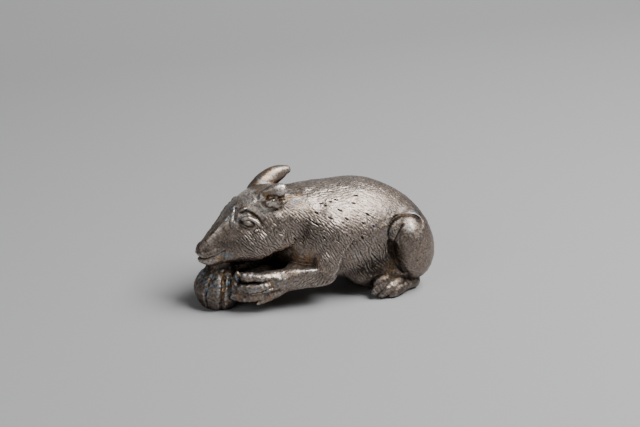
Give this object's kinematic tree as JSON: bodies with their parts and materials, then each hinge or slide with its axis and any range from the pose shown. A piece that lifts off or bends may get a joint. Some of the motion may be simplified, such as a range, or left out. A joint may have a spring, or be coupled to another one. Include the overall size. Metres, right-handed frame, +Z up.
{
  "type": "silver mouse figurine",
  "caption": "Small solid-cast silver mouse, crouching with its long head low, holding a ribbed fruit to its chin between both forepaws.",
  "frame": {"origin": "centre of the bounding box's footprint, on the surface the figurine stands on", "axes": "+X from the head to the rump, +Y to the mouse's right side, +Z up"},
  "size_m": [0.0427, 0.0192, 0.0227],
  "materials": {
    "tarnished_silver": "solid cast silver, chased by hand, dark brownish-grey tarnish with faint blue and amber films in the hollows and brighter rubbed high spots"
  },
  "bodies": {
    "root": {"mouse_figurine": "tarnished_silver"}
  },
  "joints": []
}
